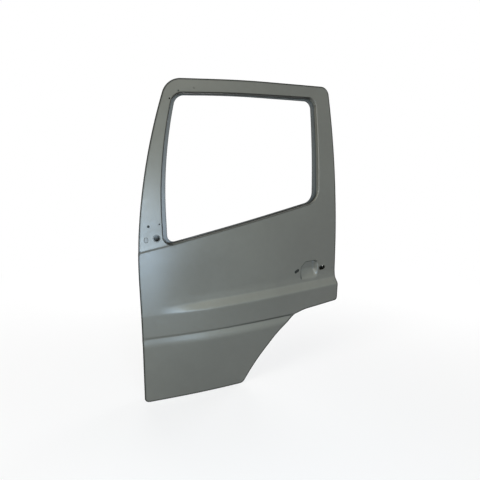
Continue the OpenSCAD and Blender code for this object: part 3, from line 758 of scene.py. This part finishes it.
height = wall_plan[:, 1]
front_run = run_of((np.abs(normals[:, 0] - 1) < 0.002) & (height > FRONT_WALL[0]) & (height < FRONT_WALL[1]))
rear_run = run_of((np.abs(normals[:, 0] + 1) < 1e-6) & (height > REAR_WALL[0]) & (height < REAR_WALL[1]))
hinge_holes = [circle(HINGE_Y + a * HINGE_HALF_W, z + b * HINGE_HALF_H, 7.0, 24)[0]
               for z in HINGE_LEVELS for a in (-1, 1) for b in (-1, 1)]
check_slot = outline(rounded_box(HINGE_Y - 9, 268, HINGE_Y + 9, 312, 5), 3)[0]
latch_holes = [outline(rounded_box(35.5, 531.6, 56.8, 566, 4), 3)[0]]
for turned in (90, 210, 330):
    a = math.radians(turned)
    y, z = LATCH_Y + LATCH_CIRCLE_R * math.cos(a), LATCH_Z + LATCH_CIRCLE_R * math.sin(a)
    latch_holes.append(circle(y, z, 5.5, 24)[0])
front_wall = wall_strip(panel, front_run, rings[-1], crest_rings[0], hinge_holes + [check_slot])
rear_wall = wall_strip(panel, rear_run, rings[-1], crest_rings[0], latch_holes)
done = set(front_wall[:-1]) | set(rear_wall[:-1])
for i in range(len(points)):
    j = (i + 1) % len(points)
    if i not in done:
        panel.faces.append((rings[-1][i], rings[-1][j], crest_rings[0][j], crest_rings[0][i]))


def hem_flange(sheet, foot_numbers, foot_plan, keep):
    """The flange that the hem closes on: from just inside the door's edge to the foot of the wall."""
    edge = plan_of(door_loop, 2)
    chosen = edge[run_of(keep(edge))]
    ends = np.array([(x, split_at(x)) for x in (chosen[0][0], chosen[-1][0])])
    border = np.vstack([ends[:1], chosen, ends[1:]])
    numbers = sheet.add(stand(border, FLANGE_DEPTH)) + foot_numbers[::-1]
    plan_loop = np.vstack([border, foot_plan[::-1]])
    sheet.fill([numbers], [plan_loop], np.zeros((0, 2)), np.zeros((0, 3)))


hem_flange(panel, rings[0], plan_of(panel_loop, foot[0][0])[lower], lambda p: p[:, 1] < split_at(p[:, 0]) - 2)

# Openings with a turned-out edge: front and rear service openings, speaker and lower hole
face_loops, face_flat = [crest_rings[-1]], [plan_of(panel_loop, crest[-1][0])]
lip = [(-5, 0), (-2.5, 0)] + quarter(-2.5, 0, 0, -2.5, 4) + [(0, -OPENING_LIP)]
for opening in (outline([(190, 430, 40), (500, 430, 40), (500, 660, 40), (190, 610, 40)]),
                outline([(560, 440, 40), (895, 440, 40), (895, 700, 50), (560, 670, 40)]),
                circle(*SPEAKER, SPEAKER_R, 64), outline(rounded_box(350, 130, 460, 230, 25), 6)):
    ring, _ = lay_rings(panel, opening, lip, inner_face)
    face_loops.append(ring)
    face_flat.append(plan_of(opening, lip[0][0]))

# Punched holes: one to reach behind the lock, and those of the trim clips
CLIP_HOLES = [(50, z) for z in (90, 250, 410, 570)] + [(985, z) for z in (440, 640, 800)]
CLIP_HOLES += [(x, 50) for x in (180, 320, 440)]
for hole, _ in [circle(955, 545, 22, 32)] + [circle(x, z, 4.5, 16) for x, z in CLIP_HOLES]:
    face_loops.append(panel.add(stand(hole, 0, inner_face)))
    face_flat.append(hole)
x, z = np.meshgrid(np.arange(30, 1010, 9.0), np.arange(24, 840, 9.0))
inner = np.stack([x.ravel(), z.ravel()], 1)
inner = inner[away([FIELD, BEAD, circle(*SPEAKER, SPEAKER_RING - 3, 90)[0]], inner, 9.5)]
rows = [plan_of(loop, inset) for loop in (FIELD_LOOP, BEAD_LOOP, circle(*SPEAKER, SPEAKER_RING, 90))
        for inset in (-3, -0.8, 1.5, 3.5, 5.5, 7.4, 9.6)]
inner = np.vstack([inner] + rows)
inner = inner[within(face_flat, inner)]
inner = inner[away(face_flat, inner, 2.6)]
panel.fill(face_loops, face_flat, inner, stand(inner, 0, inner_face))
inner_panel = panel.build("inner_panel_pressing", inner_primer, "inner_primer", outward=1)
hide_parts("inner_panel")

# Window frame. The upper inner steel pressing: a box section round the opening,
# with a step down to the flange that the glass closes on. Its lower edge laps
# the inner panel, and the skin's hem is folded over its outer flange.
GLASS_DEPTH, STEP_WIDTH = 28.2, 10.0
flange_x = SILL_X + 22
FLANGE_EDGE = [(flange_x, sill_at(flange_x) + 6, 28), (902, sill_at(902) + 6, 55), (921, 1395, 36),
               (480, 1409, 5000), (221, 1404, 52), (flange_x, 1130, 1650)]
WALL_EDGE = LOWER_EDGE + [(LATCH_EDGE, 968, 3000)] + DOOR_EDGE[7:]


def plain_skin(x, z):
    """The skin without its belt line, which the inner pressing doesn't follow."""
    return skin(x, z) + belt_step(x, level_of(x, z))


frame_sheet = Pressing()
wall_loop = outline(WALL_EDGE)
wall_plan = plan_of(wall_loop, WALL_INSET)
upper = run_of(wall_plan[:, 1] > split_at(wall_plan[:, 0]) + 5)
section = [(WALL_INSET - FOOT_RADIUS, FLANGE_DEPTH)]
section += quarter(WALL_INSET - FOOT_RADIUS, FLANGE_DEPTH, WALL_INSET, FLANGE_DEPTH + FOOT_RADIUS, 4)
section += [(WALL_INSET, 24), (WALL_INSET, FRAME_DEPTH - CREST_RADIUS)]
section += quarter(WALL_INSET, FRAME_DEPTH - CREST_RADIUS, WALL_INSET + CREST_RADIUS, FRAME_DEPTH, 5, "depth")
section += [(WALL_INSET + CREST_RADIUS + 3, FRAME_DEPTH)]


def with_ends(plan):
    return np.vstack([[(plan[0][0], split_at(plan[0][0]))], plan, [(plan[-1][0], split_at(plan[-1][0]))]])


plans = [with_ends(plan_of(wall_loop, inset)[upper]) for inset, _ in section]
rings = [frame_sheet.add(stand(plan, depth, plain_skin)) for plan, (_, depth) in zip(plans, section)]
for near, far in zip(rings, rings[1:]):
    frame_sheet.bridge(near, far, closed=False)
hem_flange(frame_sheet, rings[0], plans[0], lambda p: p[:, 1] > split_at(p[:, 0]) + 2)
left, right_end = plans[-1][-1], plans[-1][0]
steps = np.linspace(0, 1, 100)[1:-1, None]
foot_line = left + steps * (right_end - left)
outer_loop = rings[-1] + frame_sheet.add(stand(foot_line, FRAME_DEPTH, plain_skin))
outer_plan = np.vstack([plans[-1], foot_line])
step = [(-STEP_WIDTH - 8, FRAME_DEPTH), (-STEP_WIDTH - 5, FRAME_DEPTH)]
step += quarter(-STEP_WIDTH - 5, FRAME_DEPTH, -STEP_WIDTH, FRAME_DEPTH - 5, 5)
step += [(-STEP_WIDTH, GLASS_DEPTH + 3)]
step += quarter(-STEP_WIDTH, GLASS_DEPTH + 3, -STEP_WIDTH + 3, GLASS_DEPTH, 4, "depth")
step_ring, land_ring = lay_rings(frame_sheet, window_loop, step, plain_skin)
hole_plan = plan_of(window_loop, step[0][0])
inner = grid(np.arange(8, 1050, 11.0), np.arange(640, 1480, 11.0))
inner = inner[within([outer_plan, hole_plan], inner)]
inner = inner[away([outer_plan, hole_plan], inner, 5)]
box_face = stand(inner, FRAME_DEPTH, plain_skin)
frame_sheet.fill([outer_loop, step_ring], [outer_plan, hole_plan], inner, box_face)
flange_loop = outline(FLANGE_EDGE)
flange_path = [(-3, GLASS_DEPTH), (0, GLASS_DEPTH)]
# Painted shade darkens the inner edge of the flange that the glass closes on
flange_ring, _ = lay_rings(frame_sheet, flange_loop, flange_path, plain_skin, [0, 1])
land = [plan_of(window_loop, step[-1][0]), plan_of(flange_loop, flange_path[0][0])]
frame_sheet.fill([land_ring, flange_ring], land, np.zeros((0, 2)), np.zeros((0, 3)))
window_frame = frame_sheet.build("window_frame_pressing", inner_primer, "inner_primer", outward=1)
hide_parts("window_frame")

# Rails, brace, beam, brackets, hinge, check and latch plates, and glass guides.
# Plain steel pressings and one tube, welded or bolted behind the skin and the
# walls. Their own solids stay, in the same primer as the inner panel.
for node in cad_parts.values():
    if not node.hide_render:
        node.data.materials.clear()
        node.data.materials.append(inner_primer)
